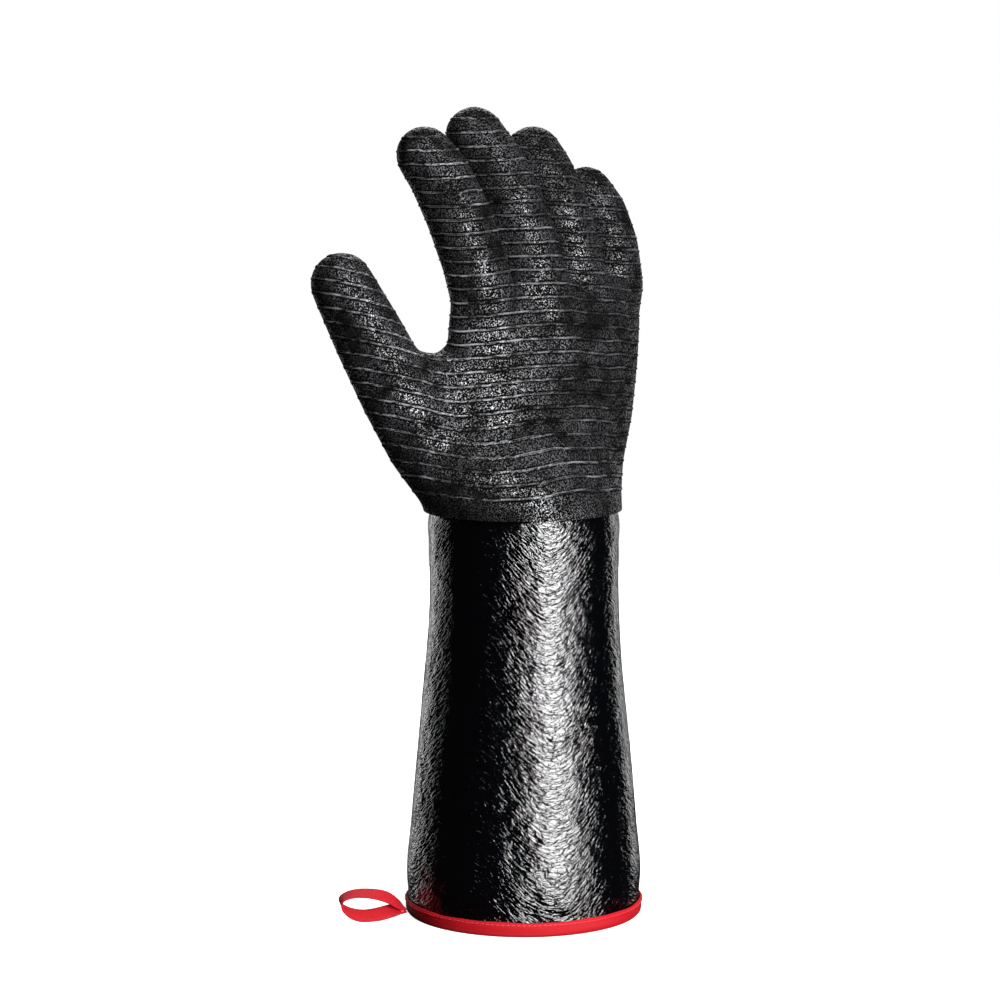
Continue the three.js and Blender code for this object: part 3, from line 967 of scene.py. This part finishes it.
def polyester_thread():
    """Spun polyester thread: brighter red than the tape, and uneven from ply to ply."""
    ply = 0.5 * MM
    material, shader = start_material("polyester_thread", "#c01420", 0.5, 1.5)
    place = node(material, "ShaderNodeTexCoord").outputs["Object"]
    plies = node(material, "ShaderNodeTexNoise", {"Vector": place, "Scale": 1 / ply})
    tone = node(material, "ShaderNodeMixRGB", {"Fac": plies.outputs["Fac"]})
    tone.inputs["Color1"].default_value = to_linear("#98101a")
    tone.inputs["Color2"].default_value = to_linear("#d92531")
    plug(material, tone.outputs["Color"], shader, "Base Color")
    return material


def cotton_knit():
    """Knitted cotton lining: matt cream yarn in rows of small stitches, painted darker in the hollows as shade."""
    stitch = 2.2 * MM
    strand = 0.6 * MM
    material, shader = start_material("cotton_knit", "#d8d2c4", 0.95, 1.45)
    place = node(material, "ShaderNodeTexCoord").outputs["Object"]
    rows = node(
        material, "ShaderNodeTexWave",
        {"Vector": place, "Scale": 0.32 / stitch, "Distortion": 2.0, "Detail": 1.0}, bands_direction="Z",
    )
    fuzz = node(material, "ShaderNodeTexNoise", {"Vector": place, "Scale": 1 / strand, "Detail": 2.0})
    height = node(
        material, "ShaderNodeMath",
        {0: rows.outputs["Fac"], 1: fuzz.outputs["Fac"]}, operation="MULTIPLY",
    )
    # Painted shade: the colour follows the knit's height, darker where rows and strands dip.
    tone = node(material, "ShaderNodeMixRGB", {"Fac": height.outputs[0]})
    tone.inputs["Color1"].default_value = to_linear("#a89f8c")
    tone.inputs["Color2"].default_value = to_linear("#ece6d8")
    plug(material, tone.outputs["Color"], shader, "Base Color")
    bump = node(
        material, "ShaderNodeBump",
        {"Height": height.outputs[0], "Strength": 0.8, "Distance": 0.6 * MM},
    )
    plug(material, bump.outputs["Normal"], shader, "Normal")
    return material


# ---------------------------------------------------------------- stage, lights and camera

VIEW_TURN = math.radians(42)
VIEW_RISE = math.radians(7)
VIEW_DISTANCE = 1.7
VIEW_LENS = 115.5
AIM_LEFT = 12.7 * MM
AIM_HEIGHT = 221.3 * MM
AIM = Vector((CUFF.x - AIM_LEFT * math.cos(VIEW_TURN), AIM_LEFT * math.sin(VIEW_TURN), AIM_HEIGHT))

# Light panels: azimuth and rise in degrees, distance, width and height in metres, and power in watts.
PANELS = {
    "strip_right": (32, 6, 1.5, 0.75, 1.3, 100),
    "edge_left": (-147, -2, 1.6, 0.6, 0.9, 3),
    "edge_right": (147, -2, 1.6, 0.6, 0.9, 2.6),
    "back_fill": (180, 35, 1.8, 1.2, 0.8, 16),
    "top_box": (5, 68, 1.4, 0.9, 0.9, 12),
}
ROOM_LIGHT = 0.02
FLOOR_RADIUS = 1.3


def around(azimuth, rise, distance):
    """A point round the glove. Azimuth 0 is the camera's side, and it grows to the camera's right."""
    turn = VIEW_TURN - math.radians(azimuth)
    up = math.radians(rise)
    return Vector((-math.sin(turn) * math.cos(up), -math.cos(turn) * math.cos(up), math.sin(up))) * distance


def make_camera():
    data = bpy.data.cameras.new("view")
    data.lens = VIEW_LENS
    data.sensor_width = 36
    camera = bpy.data.objects.new("view", data)
    bpy.context.scene.collection.objects.link(camera)
    back = around(0, math.degrees(VIEW_RISE), 1)
    camera.location = AIM + back * VIEW_DISTANCE
    camera.rotation_euler = (-back).to_track_quat("-Z", "Y").to_euler()
    bpy.context.scene.camera = camera
    bpy.context.scene.view_settings.view_transform = "Standard"


def add_panel(name, azimuth, rise, distance, wide, tall, power):
    data = bpy.data.lights.new(name, "AREA")
    data.shape = "RECTANGLE"
    data.size = wide
    data.size_y = tall
    data.energy = power
    panel = bpy.data.objects.new(name, data)
    bpy.context.scene.collection.objects.link(panel)
    panel.location = AIM + around(azimuth, rise, distance)
    panel.rotation_euler = (AIM - panel.location).to_track_quat("-Z", "Y").to_euler()
    panel.visible_camera = False


def make_lights():
    for name, facts in PANELS.items():
        add_panel(name, *facts)


def make_world():
    """A white room as the camera sees it, and nearly dark as a light."""
    world = bpy.data.worlds.new("studio")
    bpy.context.scene.world = world
    world.use_nodes = True
    nodes, links = world.node_tree.nodes, world.node_tree.links
    room = nodes["Background"]
    room.inputs["Color"].default_value = (1, 1, 1, 1)
    room.inputs["Strength"].default_value = 1.0
    dim = nodes.new("ShaderNodeBackground")
    dim.inputs["Color"].default_value = (1, 1, 1, 1)
    dim.inputs["Strength"].default_value = ROOM_LIGHT
    mix = nodes.new("ShaderNodeMixShader")
    path = nodes.new("ShaderNodeLightPath")
    links.new(path.outputs["Is Camera Ray"], mix.inputs["Fac"])
    links.new(dim.outputs["Background"], mix.inputs[1])
    links.new(room.outputs["Background"], mix.inputs[2])
    links.new(mix.outputs["Shader"], nodes["World Output"].inputs["Surface"])


def lit_paper():
    """White paper that glows, a little more away from the glove."""
    material, shader = start_material("lit_paper", "#f4f4f4", 0.9)
    place = node(material, "ShaderNodeTexCoord").outputs["Object"]
    away = node(material, "ShaderNodeVectorMath", {0: place}, operation="LENGTH")
    glow = node(
        material, "ShaderNodeMapRange",
        {"Value": away.outputs["Value"], "From Min": 0.2, "From Max": 0.8, "To Min": 0.8, "To Max": 1.0},
    )
    shader.inputs["Emission Color"].default_value = (1, 1, 1, 1)
    plug(material, glow.outputs["Result"], shader, "Emission Strength")
    return material


def make_floor():
    bpy.ops.mesh.primitive_circle_add(
        vertices=96, radius=FLOOR_RADIUS, fill_type="NGON", location=(0, 0, 0)
    )
    floor = settle(bpy.context.object)
    floor.name = "floor"
    floor.data.materials.append(lit_paper())
    floor.visible_glossy = False
    floor.visible_diffuse = False


# ---------------------------------------------------------------- the glove


def place(piece, material, slot, body, *nodes):
    piece.data.materials.clear()
    piece.data.materials.append(material)
    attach(piece, body)
    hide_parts(*nodes)


make_camera()
make_world()
make_lights()
make_floor()

coat = hand_form("coat_hand", inset=0, voxel=1.8 * MM, rounds=24, shrink=0.75 * MM)
add_ribs(coat)
coat_pieces = split_hand(coat, "coat")
for (part, _), piece in coat_pieces.items():
    thicken(piece, COAT_WALL, SECOND_DIP if part == "wrist" else None)
dress_hand(coat_pieces, "coat", sandy_neoprene())

lining = hand_form("liner_hand", inset=LINER_DEPTH, voxel=2.6 * MM, rounds=12, shrink=0.8 * MM)
lining_pieces = split_hand(lining, "liner")
for piece in lining_pieces.values():
    thicken(piece, LINER_WALL)
knit = cotton_knit()
dress_hand(lining_pieces, "liner", knit)

place(make_sleeve(), glossy_neoprene(), "sleeve_coat", "sleeve", "sleeve_coat")
place(make_sleeve_liner(), knit, "liner", "sleeve", "sleeve_liner")
tape = twill_tape()
thread = polyester_thread()
place(make_binding(), tape, "tape", "sleeve", "cuff_binding")
place(make_thread(), thread, "thread", "sleeve", "binding_thread")
place(make_loop(), tape, "tape", "loop", "hang_loop")
place(make_bar_tack(), thread, "thread", "loop", "loop_bar_tack")
